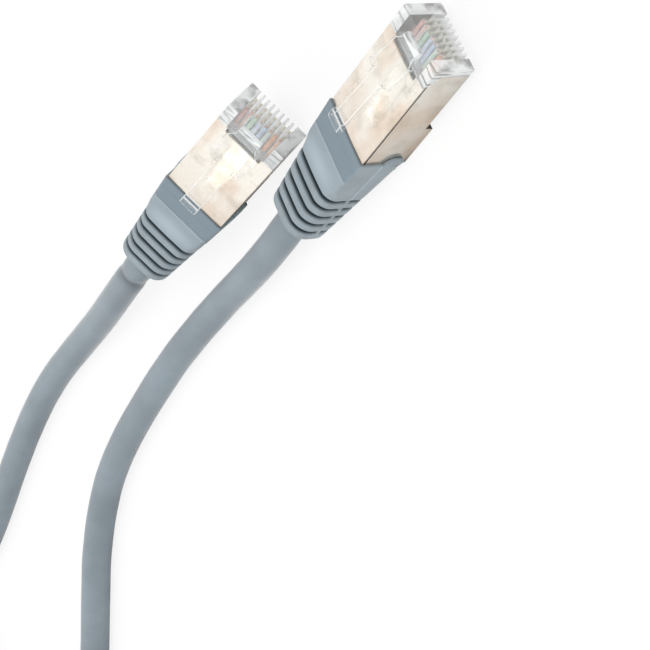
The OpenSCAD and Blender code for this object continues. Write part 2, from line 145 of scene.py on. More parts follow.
# The boot's tongues over the plug's sides, and their rings: how much smaller and how far out each is
TONGUE_Y = 22.9
TONGUE_END = 23.4
TONGUE_Z = -2.4
TONGUE_LOW = -4.35
TONGUE_R = 2
TONGUE_PROUD = 0.19
TONGUE_RINGS = ((0, -0.5), (0, -0.14), (0.04, -0.05), (0.13, 0))

# Wires of a plug, from contact 1. They leave the nose in a row, rise or sink into two rows and gather
WIRES = ("white_orange", "orange", "white_green", "blue", "white_blue", "green", "white_brown", "brown")
PITCH = 1.02
ROW_Z = 0.3
NOSE_WALL = 1.05
RISE_Y = 9.6
GATHER_Y = 12.6
GATHERED_Y = 18.6
COLUMN_STEP = 0.88
ROW_RISE = 0.71

# Route of each lead in millimetres: x, y and how far its underside is above the floor
ROUTE_A = [(10.1, 51.4, 3.6), (11, 58.9, 2.5), (12, 66.4, 1.3), (12.9, 73.4, 0.5), (13.7, 81.4, 0),
    (14, 90.4, 0), (13.2, 100.4, 0), (11.1, 111.4, 0), (8.1, 122.4, 0), (5, 132.9, 0), (2.9, 142.4, 0),
    (2.9, 151.9, 0), (5.1, 160.9, 0.1), (8.9, 169.4, 0.3), (12.3, 177.9, 0.5), (14.2, 185.4, 0.6)]
ROUTE_B = [(-8.6, 9.4, 1.9), (-8.1, 16.4, 1.3), (-7.2, 23.9, 0.6), (-6.2, 32.4, 0.1), (-5.7, 42.4, 0),
    (-5.7, 52.4, 0), (-6.6, 64.4, 0), (-8.2, 76.4, 0), (-10.9, 86.4, 0), (-15.1, 94.4, 0),
    (-20.1, 100.9, 0), (-25.9, 106.6, 0), (-31.7, 112, 0), (-37.3, 117.8, 0), (-42.1, 124.6, 0),
    (-45.7, 132.4, 0), (-47.9, 141.4, 0), (-48.7, 151.4, 0.2), (-48.7, 161.4, 1), (-48.7, 171.4, 3.3),
    (-48.7, 182.4, 5.6)]
COIL_AT = (-16.9, 196.4)
COIL_OUTER_R = 31.75
COIL_INNER_R = 26.25
COIL_LOW_Z = 3.35
COIL_HIGH_Z = 8.85

# Degrees round the coil: its end, a step, and where each move from turn to turn starts and how long it is
COIL_END = 1260
COIL_STEP = 15
MOVE_IN = (300, 55)
MOVE_UP = (600, 60)
MOVE_OUT = (910, 50)

# The cable's and the wires' tubes in metres: length of a step along them, and the crease behind boot a
CABLE_STEP = 0.0012
WIRE_STEP = 0.0003
CREASE_AT = 0.0062
CREASE_W = 0.0005

# The camera's place in metres, its own axes and half the floor's side
CAMERA_AT = (-0.147204, -0.229163, 0.190335)
CAMERA_RIGHT = (-0.3688, -0.4488, -0.8140)
CAMERA_UP = (0.8504, -0.5164, -0.1007)
FLOOR_HALF = 3


# ---- Sizes and colours that a user can change ----

def length(name, note, value):
    return FloatProperty(name=name, description=note, default=value, min=0, unit="LENGTH", precision=5)


def power(name, note, value):
    return FloatProperty(name=name, description=note, default=value, min=0, unit="POWER")


def colour(name, note, value):
    return FloatVectorProperty(name=name, description=note, default=value, subtype="COLOR", min=0, max=1)


class CableSettings(bpy.types.PropertyGroup):
    diameter: length("Diameter", "Outside diameter of the cable's jacket", 0.0055)
    wobble: length("Wobble", "How far the jacket's surface wanders in and out", 0.00012)
    crease_depth: length("Crease depth", "Depth of the small crease behind boot a", 0.00035)
    wire_diameter: length("Wire diameter", "Outside diameter of each insulated wire", 0.00082)
    jacket: colour("Jacket", "Colour of the cable's jacket", (0.192, 0.232, 0.261))
    tie: colour("Tie", "Colour of the tie around the coil", (0.03, 0.031, 0.034))


class BootSettings(bpy.types.PropertyGroup):
    groove_pitch: length("Groove pitch", "Distance from one groove to the next", 0.0023)
    groove_width: length("Groove width", "Width of each groove", 0.00095)
    groove_depth: length("Groove depth", "Depth of each groove", 0.0008)
    groove_edge: length("Groove edge", "Width over which a groove's edge rounds over", 0.0003)
    groove_count: IntProperty(name="Grooves", description="Number of grooves", default=5, min=0, max=8)
    band_step: length("Band step", "How far the front band lies below the boot's body", 0.00016)
    crown: length("Crown", "How far the body's upper side bulges", 0.00022)
    body: colour("Body", "Colour of the boot", (0.255, 0.302, 0.332))
    band: colour("Band", "Colour of the boot's front band", (0.165, 0.212, 0.247))
    # Colour of the painted shade deep in the grooves
    groove_shade: colour("Groove", "Colour deep in the grooves", (0.03, 0.045, 0.052))


class PlugSettings(bpy.types.PropertyGroup):
    sheet_edge: length("Sheet edge", "Radius of the shield's folded edges", 0.00014)
    nose_edge: length("Nose edge", "Radius of the clear nose's edges", 0.00007)
    latch_edge: length("Latch edge", "Radius of the latch's edges", 0.00013)
    seam: length("Seam", "Width of the gap where the shield's sheet meets itself", 0.0002)
    steel: colour("Shield", "Colour of the shield's plating", (0.92, 0.875, 0.8))
    stain: colour("Shield tint", "Warm tint that clouds the plating", (0.72, 0.53, 0.38))
    gold: colour("Contacts", "Colour of the contacts", (0.97, 0.87, 0.72))
    clear: colour("Clear plastic", "Tint of the clear plastic", (0.96, 0.98, 0.98))


class StageSettings(bpy.types.PropertyGroup):
    lens: FloatProperty(name="Lens", description="Focal length of the camera", default=118.25, min=1,
        unit="CAMERA")
    key: power("Key light", "Power of the soft box behind the plugs", 2.2)
    top: power("Top light", "Power of the soft box overhead", 4.7)
    side: power("Side light", "Power of the low soft box in front", 1.6)
    fill: FloatProperty(name="Fill", description="Strength of the light from all round", default=0.6, min=0)
    mirror: FloatProperty(name="Mirrored light", description="Strength of the light that the metal mirrors",
        default=1.1, min=0)
    floor: colour("Floor", "Colour of the floor", (0.86, 0.86, 0.86))


SETTINGS = {"cable": CableSettings, "boot": BootSettings, "plug": PlugSettings, "stage": StageSettings}


class PatchCableSettings(bpy.types.PropertyGroup):
    cable: PointerProperty(type=CableSettings, name="Cable", description="Sizes and colours of the cable")
    boot: PointerProperty(type=BootSettings, name="Boots", description="Sizes and colours of the boots")
    plug: PointerProperty(type=PlugSettings, name="Plugs", description="Sizes and colours of the plugs")
    stage: PointerProperty(type=StageSettings, name="Stage", description="Camera and light")


# ---- Places and paths ----

def plug_place(plug):
    """Where a plug stands: from its own millimetres to metres in the frame."""
    if plug == "b":
        return Matrix.Translation(Vector(PLUG_B_AT) * MM) @ Matrix.Scale(MM, 4)
    return (Matrix.Translation(Vector(PLUG_A_AT) * MM) @ Matrix.Rotation(PLUG_A_YAW, 4, "Z")
        @ Matrix.Rotation(-PLUG_A_ROLL, 4, "Y") @ Matrix.Scale(MM, 4))


def eased(t):
    """0 at and below 0, 1 at and above 1, and smooth between."""
    t = min(max(t, 0.0), 1.0)
    return t * t * (3 - 2 * t)


def coil_points():
    """The middle of the coiled cable in millimetres: three and a half turns in two layers."""
    points = []
    for turn in range(COIL_STEP, COIL_END, COIL_STEP):
        moved_in, moved_up, moved_out = (
            eased((turn - start) / arc) for start, arc in (MOVE_IN, MOVE_UP, MOVE_OUT))
        radius = COIL_OUTER_R + (COIL_INNER_R - COIL_OUTER_R) * (moved_in - moved_out)
        height = COIL_LOW_Z + (COIL_HIGH_Z - COIL_LOW_Z) * moved_up
        angle = math.radians(turn)
        points.append((COIL_AT[0] + radius * math.cos(angle), COIL_AT[1] + radius * math.sin(angle), height))
    return points


def smooth_path(points, step):
    """A smooth curve through the points, cut into pieces about one step long."""
    out = []
    padded = [points[0] * 2 - points[1]] + points + [points[-1] * 2 - points[-2]]
    for i in range(1, len(padded) - 2):
        p0, p1, p2, p3 = padded[i - 1:i + 3]
        count = max(2, round((p2 - p1).length / step))
        for k in range(count):
            t = k / count
            out.append(0.5 * (2 * p1 + (p2 - p0) * t + (2 * p0 - 5 * p1 + 4 * p2 - p3) * t * t
                + (3 * p1 - p0 - 3 * p2 + p3) * t ** 3))
    out.append(points[-1])
    return out


def cable_path(radius):
    """The cable's middle line from boot a through the coil to boot b, in metres."""
    start = {plug: [plug_place(plug) @ Vector((0, BOOT_END + d, 0)) for d in (0, 3)] for plug in PLUGS}
    lift = radius / MM
    route_a = [Vector((x, y, z + lift)) * MM for x, y, z in ROUTE_A]
    route_b = [Vector((x, y, z + lift)) * MM for x, y, z in ROUTE_B]
    coil = [Vector(p) * MM for p in coil_points()]
    return smooth_path(start["a"] + route_a + coil + route_b[::-1] + start["b"][::-1], 1.5 * MM)


def wire_path(plug, i):
    """Wire i's middle line in metres: through the nose in a row, then in two rows of four."""
    row_x = (i - 3.5) * PITCH
    level = ROW_RISE if i % 2 == 0 else -ROW_RISE
    column = (i // 2 - 1.5) * COLUMN_STEP
    points = [(row_x, NOSE_WALL + 0.15, ROW_Z), (row_x, RISE_Y - 1, ROW_Z)]
    for k in range(9):
        points.append((row_x, RISE_Y + k / 8 * (GATHER_Y - RISE_Y), ROW_Z + (level - ROW_Z) * eased(k / 8)))
    for k in range(1, 9):
        x = row_x + (column - row_x) * eased(k / 8)
        points.append((x, GATHER_Y + k / 8 * (GATHERED_Y - GATHER_Y), level))
    points.append((column, BOOT_END, level))
    place = plug_place(plug)
    return [place @ Vector(p) for p in points]


# ---- Meshes and node trees ----

def new_object(name, data):
    """An object in the scene that holds a mesh, a lamp or a camera."""
    holder = bpy.data.objects.new(name, data)
    bpy.context.scene.collection.objects.link(holder)
    return holder


def new_piece(name, mesh, body="cable", hides=()):
    """A piece of the object that rides on a body and stands for CAD nodes."""
    piece = new_object(name, mesh)
    if body:
        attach(piece, body)
    if hides:
        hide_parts(*hides)
    return piece


def give_material(mesh, *materials):
    """Fills a mesh's material slots and keeps which slot each face uses."""
    for i, m in enumerate(materials):
        if i < len(mesh.materials):
            mesh.materials[i] = m
        else:
            mesh.materials.append(m)


def link_in(tree, socket, value):
    """Links a socket to another node's socket, or sets its value. None leaves it as it is."""
    if isinstance(value, bpy.types.NodeSocket):
        tree.links.new(value, socket)
    elif value is not None:
        socket.default_value = value


def add_node(tree, kind, inputs=None, **settings):
    node = tree.nodes.new(kind)
    for key, value in settings.items():
        setattr(node, key, value)
    for key, value in (inputs or {}).items():
        link_in(tree, node.inputs[key], value)
    return node


def maths(tree, operation, a, b=None, clamp=False):
    """One step of arithmetic on numbers or sockets."""
    return add_node(tree, "ShaderNodeMath", {0: a, 1: b}, operation=operation, use_clamp=clamp).outputs[0]


def soft_step(tree, value, low, high):
    """0 below low, 1 above high and smooth between."""
    return add_node(tree, "ShaderNodeMapRange", {"Value": value, "From Min": low, "From Max": high},
        interpolation_type="SMOOTHSTEP").outputs["Result"]


def geometry_tree(name, inputs):
    """A Geometry Nodes tree with named inputs, its input node and its output node."""
    tree = bpy.data.node_groups.new(name, "GeometryNodeTree")
    face = tree.interface
    face.new_socket("Geometry", in_out="INPUT", socket_type="NodeSocketGeometry")
    for label, kind in inputs:
        face.new_socket(label, in_out="INPUT", socket_type="NodeSocket" + kind)
    face.new_socket("Geometry", in_out="OUTPUT", socket_type="NodeSocketGeometry")
    return tree, tree.nodes.new("NodeGroupInput").outputs, tree.nodes.new("NodeGroupOutput").inputs


def end_tree(tree, geometry, given, out):
    """Ends a tree in real geometry with its material."""
    real = add_node(tree, "GeometryNodeRealizeInstances", {"Geometry": geometry}).outputs[0]
    dressed = add_node(tree, "GeometryNodeSetMaterial", {"Geometry": real, "Material": given["Material"]})
    tree.links.new(dressed.outputs[0], out["Geometry"])


def run_tree(mesh, tree, values):
    """Runs a tree on a mesh and returns the plain mesh that it makes."""
    holder = new_object("holder", mesh)
    modifier = holder.modifiers.new("tree", "NODES")
    modifier.node_group = tree
    for item in tree.interface.items_tree:
        if item.item_type == "SOCKET" and item.in_out == "INPUT" and item.name in values:
            modifier[item.identifier] = values[item.name]
    return plain_mesh(holder)


def plain_mesh(holder):
    """The finished mesh of an object with modifiers. The object itself is removed."""
    bpy.context.view_layer.update()
    evaluated = holder.evaluated_get(bpy.context.evaluated_depsgraph_get())
    mesh = bpy.data.meshes.new_from_object(evaluated)
    bpy.data.objects.remove(holder)
    return mesh


@contextmanager
def edited(mesh):
    """Opens a mesh for editing and writes it back."""
    bm = bmesh.new()
    bm.from_mesh(mesh)
    yield bm
    bm.to_mesh(mesh)
    bm.free()


def cut(bm, at, across, parts=None):
    """Cuts the faces that a plane crosses: every face, or the parts given."""
    parts = parts or bm.verts[:] + bm.edges[:] + bm.faces[:]
    bmesh.ops.bisect_plane(bm, geom=parts, plane_co=at, plane_no=across, dist=1e-5)


def smooth_shading(mesh, angle):
    """Smooth faces, with the edges sharper than the angle kept sharp."""
    mesh.shade_smooth()
    mesh.set_sharp_from_angle(angle=math.radians(angle))


def node_copy(node, bevel, segments=2, edge_slot=-1):
    """A CAD node's mesh, joined up and with its edges rounded. They can have a material slot of their own."""
    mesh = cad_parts[node].data.copy()
    mesh.materials.clear()
    with edited(mesh) as bm:
        bmesh.ops.remove_doubles(bm, verts=bm.verts, dist=2e-6)
        bmesh.ops.dissolve_limit(bm, angle_limit=math.radians(0.6), verts=bm.verts, edges=bm.edges)
    for _ in range(edge_slot + 1):
        mesh.materials.append(None)
    holder = new_object("holder", mesh)
    modifier = holder.modifiers.new("edges", "BEVEL")
    modifier.width = bevel
    modifier.segments = segments
    modifier.limit_method = "ANGLE"
    modifier.angle_limit = math.radians(EDGE_ANGLE)
    modifier.use_clamp_overlap = True
    modifier.material = edge_slot
    return plain_mesh(holder)


# ---- Materials ----

def new_material(name, **constants):
    """A material with one principled shader. Its constants go straight onto the sockets."""
    m = bpy.data.materials.new(name)
    m.use_nodes = True
    tree = m.node_tree
    tree.nodes.clear()
    shader = tree.nodes.new("ShaderNodeBsdfPrincipled")
    for key, value in constants.items():
        shader.inputs[key.replace("_", " ")].default_value = value
    out = tree.nodes.new("ShaderNodeOutputMaterial")
    tree.links.new(shader.outputs[0], out.inputs["Surface"])
    return m, tree, shader.inputs


def paint(tree, shader, base, roughness=None):
    """Gives a shader its colour and, where it varies, its roughness."""
    link_in(tree, shader["Base Color"], base)
    link_in(tree, shader["Roughness"], roughness)


def noise(tree, scale, detail=2.0, stretch=(1, 1, 1)):
    """Soft noise over the object, with scale in lumps per metre."""
    where = add_node(tree, "ShaderNodeTexCoord").outputs["Object"]
    if stretch != (1, 1, 1):
        where = add_node(tree, "ShaderNodeMapping", {"Vector": where, "Scale": stretch}).outputs[0]
    texture = add_node(tree, "ShaderNodeTexNoise", {"Vector": where, "Scale": scale, "Detail": detail})
    return texture.outputs["Fac"]


def attribute(tree, name):
    return add_node(tree, "ShaderNodeAttribute", attribute_name=name).outputs["Fac"]


def mixed(tree, factor, a, b):
    """Two colours mixed."""
    node = add_node(tree, "ShaderNodeMix", data_type="RGBA")
    for index, value in ((0, factor), (6, a), (7, b)):
        if isinstance(value, tuple):
            value = (*value, 1)
        link_in(tree, node.inputs[index], value)
    return node.outputs[2]


def mixed_number(tree, factor, a, b):
    """Two numbers mixed."""
    return add_node(tree, "ShaderNodeMix", {0: factor, 2: a, 3: b}).outputs[0]


def scaled(colour_value, factor):
    """A colour made darker or lighter."""
    return tuple(min(c * factor, 1) for c in colour_value)


def ranged(tree, value, low, high, to_low, to_high):
    """A value moved from one range to another."""
    return add_node(tree, "ShaderNodeMapRange", {"Value": value, "From Min": low, "From Max": high,
        "To Min": to_low, "To Max": to_high}).outputs["Result"]


def bump(tree, shader, height, distance, strength):
    """Roughens a surface by a height, over a distance in metres."""
    node = add_node(tree, "ShaderNodeBump", {"Height": height, "Distance": distance, "Strength": strength})
    tree.links.new(node.outputs[0], shader["Normal"])


def shared(name, make, s):
    """A material that several pieces use, made when it is first asked for."""
    return bpy.data.materials.get(name) or make(s)


def boot_material(s):
    """Moulded plastic in a darker and a lighter tone, with a dark band, a painted highlight on the crown,
    painted highlight lines and painted shade in the grooves.
    """
    m, tree, shader = new_material("boot_plastic", Specular_IOR_Level=0.35, Sheen_Weight=0.35,
        Sheen_Roughness=0.35)
    blotch = noise(tree, 260, 4)
    grain = noise(tree, 2600, 3)
    base = mixed(tree, ranged(tree, blotch, 0.35, 0.65, 0, 1), scaled(s.body, 0.93), scaled(s.body, 1.07))
    base = mixed(tree, ranged(tree, grain, 0.3, 0.7, 0, 0.35), base, scaled(s.body, 0.8))
    # Painted highlight on the boot's crown: a lighter copy of the body's colour
    base = mixed(tree, attribute(tree, "crown"), base, scaled(s.body, 1.3))
    base = mixed(tree, attribute(tree, "band"), base, tuple(s.band))
    # Painted highlight along the parting line and along the band's back edge
    base = mixed(tree, attribute(tree, "line"), base, scaled(s.body, 1.6))
    # Painted shade, darkest deep in the grooves
    base = mixed(tree, ranged(tree, attribute(tree, "groove_shade_depth"), 0.12, 0.6, 0, 1), base, tuple(s.groove_shade))
    paint(tree, shader, base, ranged(tree, grain, 0, 1, 0.5, 0.68))
    bump(tree, shader, grain, 0.00004, 0.6)
    return m


def jacket_material(s):
    """Extruded plastic with faint blotches, fine grain and painted shade in one crease."""
    m, tree, shader = new_material("cable_jacket", Specular_IOR_Level=0.4, Sheen_Weight=1.0,
        Sheen_Roughness=0.3, Coat_Weight=0.25, Coat_Roughness=0.45)
    blotch = noise(tree, 120, 3)
    grain = noise(tree, 2200, 3)
    base = mixed(tree, ranged(tree, blotch, 0.35, 0.65, 0, 1), scaled(s.jacket, 0.9), scaled(s.jacket, 1.12))
    base = mixed(tree, ranged(tree, grain, 0.3, 0.7, 0, 0.25), base, scaled(s.jacket, 0.82))
    # Painted shade in the crease
    base = mixed(tree, attribute(tree, "crease"), base, scaled(s.jacket, 0.4))
    paint(tree, shader, base, ranged(tree, blotch, 0, 1, 0.42, 0.6))
    bump(tree, shader, grain, 0.00003, 0.5)
    return m


def steel_material(s):
    """Bright plating with warm clouds, fine drawn lines and a browner end at the boot."""
    m, tree, shader = new_material("plated_steel", Metallic=1.0)
    cloud = noise(tree, 190, 3, (1, 0.6, 1))
    fine = noise(tree, 5200, 3, (1, 0.18, 1))
    base = mixed(tree, ranged(tree, cloud, 0.42, 0.66, 0, 0.62), tuple(s.steel), tuple(s.stain))
    base = mixed(tree, ranged(tree, noise(tree, 330, 4), 0.52, 0.72, 0, 0.45), base, (0.5, 0.46, 0.38))
    base = mixed(tree, ranged(tree, fine, 0.3, 0.7, 0, 0.12), base, (0.5, 0.47, 0.43))
    base = mixed(tree, ranged(tree, attribute(tree, "along"), 0.5, 1, 0, 0.24), base, (0.56, 0.44, 0.34))
    paint(tree, shader, base, ranged(tree, cloud, 0.3, 0.7, 0.16, 0.27))
    bump(tree, shader, noise(tree, 420, 1.5), 0.00009, 0.55)
    return m


def gap_shade_material():
    """Painted shade: the near-black inside of a gap in the sheet, also put on the heel's front face."""
    m, tree, shader = new_material("sheet_gap_shade", Roughness=0.7, Specular_IOR_Level=0.2)
    shade = noise(tree, 900, 3)
    paint(tree, shader, mixed(tree, shade, (0.028, 0.026, 0.024), (0.075, 0.068, 0.06)))
    return m


def clear_material(name, s, roughness, milk, cover, ior=1.36, coat=0.0):
    """Clear plastic: milk is how cloudy it is, and cover how much of it is seen at all."""
    m, tree, shader = new_material(name, IOR=ior, Transmission_Weight=1.0 - milk, Alpha=cover,
        Coat_Weight=coat, Coat_IOR=2.1, Coat_Roughness=0.03)
    cloud = noise(tree, 700, 3)
    paint(tree, shader, mixed(tree, cloud, scaled(s.clear, 0.94), tuple(s.clear)),
        ranged(tree, cloud, 0, 1, roughness, roughness * 2 + 0.02))
    bump(tree, shader, noise(tree, 500, 2), 0.00002, 0.4)
    return m


def edge_material(s):
    """The rounded edges of clear moulded plastic, slightly frosted: a painted bright rim for the light that
    real edges refract.
    """
    m, tree, shader = new_material("clear_edge", IOR=1.3, Transmission_Weight=0.3, Alpha=0.72,
        Specular_IOR_Level=0.7)
    cloud = noise(tree, 900, 3)
    paint(tree, shader, mixed(tree, cloud, scaled(s.clear, 0.88), tuple(s.clear)),
        ranged(tree, cloud, 0, 1, 0.12, 0.3))
    return m


def frost_and_streak_material(s):
    """The outer walls of the nose, white where the light catches them, with painted grey streaks in thin
    lines for the shade that the clear plastic refracts.
    """
    m, tree, shader = new_material("clear_frost_and_streaks", IOR=1.25, Transmission_Weight=0.1, Alpha=0.74,
        Coat_Weight=0.5)
    # Painted grey streaks for the shade that the clear walls refract
    lines = ranged(tree, noise(tree, 420, 3, (0.7, 6, 0.7)), 0.35, 0.53, 0, 1)
    paint(tree, shader, mixed(tree, lines, scaled(s.clear, 0.34), tuple(s.clear)),
        ranged(tree, lines, 0, 1, 0.1, 0.25))
    bump(tree, shader, lines, 0.00003, 0.5)
    return m


def metal_material(name, tint, roughness, metallic=1.0):
    """Bare metal with a fine cloudy grain."""
    m, tree, shader = new_material(name, Metallic=metallic)
    cloud = noise(tree, 1500, 3)
    paint(tree, shader, mixed(tree, cloud, scaled(tint, 0.8), scaled(tint, 1.1)),
        ranged(tree, cloud, 0, 1, roughness * 0.7, roughness * 1.4))
    bump(tree, shader, cloud, 0.00002, 0.5)
    return m


def foil_material():
    """Crinkled foil."""
    m, tree, shader = new_material("foil", Metallic=1.0)
    where = add_node(tree, "ShaderNodeTexCoord").outputs["Object"]
    crinkle = add_node(tree, "ShaderNodeTexVoronoi", {"Vector": where, "Scale": 900.0}).outputs["Distance"]
    paint(tree, shader, mixed(tree, crinkle, (0.62, 0.64, 0.67), (0.86, 0.87, 0.89)),
        ranged(tree, crinkle, 0, 1, 0.2, 0.4))
    bump(tree, shader, crinkle, 0.0001, 0.8)
    return m


def wire_material(name, body, stripe):
    """A wire's insulation, with two stripes along it where the wire has a stripe colour."""
    m, tree, shader = new_material(name, Roughness=0.38, Specular_IOR_Level=0.45)
    cloud = noise(tree, 1400, 3)
    base = mixed(tree, cloud, scaled(body, 0.86), scaled(body, 1.06))
    if stripe:
        around = attribute(tree, "around")
        low, high = (maths(tree, "MULTIPLY", soft_step(tree, around, at, at + 0.05),
            soft_step(tree, around, at + 0.22, at + 0.17)) for at in (0.08, 0.58))
        base = mixed(tree, maths(tree, "ADD", low, high, True), base, stripe)
    paint(tree, shader, base)
    bump(tree, shader, cloud, 0.00001, 0.4)
    return m


def tie_material(s):
    """The looped cloth of the tie."""
    m, tree, shader = new_material("tie_band", Roughness=0.75, Specular_IOR_Level=0.3)
    loops = noise(tree, 2400, 2, (1, 1, 0.35))
    paint(tree, shader, mixed(tree, loops, scaled(s.tie, 0.6), scaled(s.tie, 1.9)))
    bump(tree, shader, loops, 0.0002, 0.9)
    return m


# ---- Cable and wires ----

def path_mesh(name, path):
    """A chain of edges through the points of a path."""
    mesh = bpy.data.meshes.new(name)
    mesh.from_pydata([tuple(p) for p in path], [(i, i + 1) for i in range(len(path) - 1)], [])
    return mesh


def store(tree, geometry, name, value):
    """Keeps a number for each point under a name that a material or a later node can read."""
    return add_node(tree, "GeometryNodeStoreNamedAttribute", {"Geometry": geometry, "Name": name,
        "Value": value}, data_type="FLOAT", domain="POINT").outputs[0]


def stored(tree, name, kind="FLOAT"):
    return add_node(tree, "GeometryNodeInputNamedAttribute", {"Name": name}, data_type=kind).outputs[0]


def pushed(tree, geometry, direction, distance):
    """Moves each point by a distance along its direction."""
    offset = add_node(tree, "ShaderNodeVectorMath", {0: direction, "Scale": distance},
        operation="SCALE").outputs[0]
    return add_node(tree, "GeometryNodeSetPosition", {"Geometry": geometry, "Offset": offset}).outputs[0]


def tube_tree(name, sides):
    """Sweeps a round section along a path. A tube can wander in and out, and have one crease."""
    tree, given, out = geometry_tree(name, (("Radius", "Float"), ("Step", "Float"), ("Wobble", "Float"),
        ("Crease Place", "Float"), ("Crease Depth", "Float"), ("Material", "Material")))
    curve = add_node(tree, "GeometryNodeMeshToCurve", {"Mesh": given["Geometry"]}).outputs[0]
    curve = add_node(tree, "GeometryNodeResampleCurve", {"Curve": curve, "Length": given["Step"]},
        mode="LENGTH").outputs[0]
    along = add_node(tree, "GeometryNodeSplineParameter").outputs
    curve = store(tree, curve, "along", along["Length"])
    ring = add_node(tree, "GeometryNodeCurvePrimitiveCircle", {"Resolution": sides,
        "Radius": given["Radius"]}).outputs["Curve"]
    ring = store(tree, ring, "around", along["Factor"])
    tube = add_node(tree, "GeometryNodeCurveToMesh", {"Curve": curve, "Profile Curve": ring,
        "Fill Caps": True}).outputs[0]
    place = stored(tree, "along")
    lump = add_node(tree, "ShaderNodeTexNoise", {"Scale": 170.0, "Detail": 1.0}).outputs["Fac"]
    lump = maths(tree, "MULTIPLY", maths(tree, "SUBTRACT", lump, 0.8), given["Wobble"])
    near = maths(tree, "DIVIDE", maths(tree, "SUBTRACT", place, given["Crease Place"]), CREASE_W)
    crease = maths(tree, "DIVIDE", 1.0, maths(tree, "ADD", 1.0, maths(tree, "MULTIPLY", near, near)))
    push = maths(tree, "SUBTRACT", lump, maths(tree, "MULTIPLY", crease, given["Crease Depth"]))
    normal = add_node(tree, "GeometryNodeInputNormal").outputs[0]
    # Keeps the crease's profile for the painted shade in it
    tube = store(tree, tube, "crease", crease)
    moved = pushed(tree, tube, normal, push)
    smooth = add_node(tree, "GeometryNodeSetShadeSmooth", {"Geometry": moved}).outputs[0]
    end_tree(tree, smooth, given, out)
    return tree


class PATCHCABLE_OT_cable(bpy.types.Operator):
    """Makes the cable, from boot a through the coil to boot b"""
    bl_idname = "patchcable.cable"
    bl_label = "Cable"

    def execute(self, context):
        s = context.scene.patch_cable.cable
        radius = s.diameter / 2
        path = cable_path(radius)
        mesh = run_tree(path_mesh("cable", path), tube_tree("cable_tube", 28), {"Radius": radius,
            "Step": CABLE_STEP, "Wobble": s.wobble, "Crease Place": CREASE_AT, "Crease Depth": s.crease_depth,
            "Material": jacket_material(s)})
        piece = new_piece("cable", mesh, "cable",
            ("cable_lead_a", "cable_lead_b", "cable_coil"))
        return {"FINISHED"}


# Each wire's colour and the colour of its stripes
WHITE = (0.86, 0.84, 0.8)
WIRE_COLOURS = {"white_orange": (WHITE, (0.93, 0.5, 0.22)), "orange": ((0.92, 0.4, 0.12), None),
    "white_green": (WHITE, (0.6, 0.8, 0.66)), "blue": ((0.58, 0.7, 0.96), None),
    "white_blue": (WHITE, (0.6, 0.72, 0.95)), "green": ((0.5, 0.76, 0.57), None),
    "white_brown": (WHITE, (0.78, 0.45, 0.38)), "brown": ((0.72, 0.32, 0.25), None)}


class PATCHCABLE_OT_wires(bpy.types.Operator):
    """Makes the eight insulated wires of each plug"""
    bl_idname = "patchcable.wires"
    bl_label = "Wires"

    def execute(self, context):
        s = context.scene.patch_cable.cable
        tree = tube_tree("wire_tube", 16)
        for i, wire in enumerate(WIRES):
            m = wire_material("wire_" + wire, *WIRE_COLOURS[wire])
            for plug in PLUGS:
                name = f"wire_{wire}_{plug}"
                mesh = run_tree(path_mesh(name, wire_path(plug, i)), tree, {"Radius": s.wire_diameter / 2,
                    "Step": WIRE_STEP, "Wobble": 0.0, "Crease Place": -1.0, "Crease Depth": 0.0,
                    "Material": m})
                new_piece("insulation_" + name, mesh, "cable", (name,))
        return {"FINISHED"}


# ---- Boots ----

def boot_sizes(y):
    """Half width, bottom, top, lower and upper corner radius of the boot at y, in millimetres."""
    if y > COLLAR_Y:
        _, low, high, corner = BOOT_BACK
        less = COLLAR_ROUND * (y - COLLAR_Y) / (BOOT_END - COLLAR_Y)
        return COLLAR_HALF_W - less, low + less, high - less, corner - less, corner - less
    t = (y - PLUG_L) / (COLLAR_Y - PLUG_L)
    if y < GROOVE_START:
        along = (y - PLUG_L) / (GROOVE_START - PLUG_L)
        upper = UPPER_CORNER_FRONT + (UPPER_CORNER_EDGE - UPPER_CORNER_FRONT) * along
        rounding = eased((y - ROUNDING_START) / (GROOVE_START - ROUNDING_START))
        upper += (UPPER_CORNER_BODY - UPPER_CORNER_EDGE) * rounding
    else:
        along = (y - GROOVE_START) / (COLLAR_Y - GROOVE_START)
        upper = UPPER_CORNER_BODY + (UPPER_CORNER_BACK - UPPER_CORNER_BODY) * along
    sizes = [front + (back - front) * t for front, back in zip(BOOT_FRONT, BOOT_BACK)]
    return *sizes, upper


def boot_ring(y):
    """Points around the boot at y: x, z, outward x, outward z and how far a groove may cut."""
    w, low, high, r_low, r_high = boot_sizes(y)
    ring = []

    def corner(x, z, r, start):
        for k in range(1, 8):
            a = math.radians(start + 90 * k / 8)
            ring.append((x + r * math.cos(a), z + r * math.sin(a), math.cos(a), math.sin(a), 1))

    def side(sign, levels):
        for z in levels:
            free = min(max((abs(z - PARTING_Z) - PARTING_HALF_W) / 0.05, 0), 1)
            lip = LIP * eased((GROOVE_START - y) / 0.6) if z < PARTING_Z else 0
            ring.append((sign * (w + lip), z, sign, 0, free))

    def flat(sign, span, z):
        for k in range(9):
            ring.append((sign * span * (1 - k / 4), z, 0, sign, 1))

    z_low, z_high = low + r_low, high - r_high
    below = [z_low + (PARTING_ROWS[0] - z_low) * k / 3 for k in range(3)]
    levels = below + PARTING_ROWS + [z_high * k / 3 for k in range(1, 4)]
    side(1, levels)
    corner(w - r_high, z_high, r_high, 0)
    flat(1, w - r_high, high)
    corner(r_high - w, z_high, r_high, 90)
    side(-1, levels[::-1])
    corner(r_low - w, z_low, r_low, 180)
    flat(-1, w - r_low, low)
    corner(w - r_low, z_low, r_low, 270)
    return ring


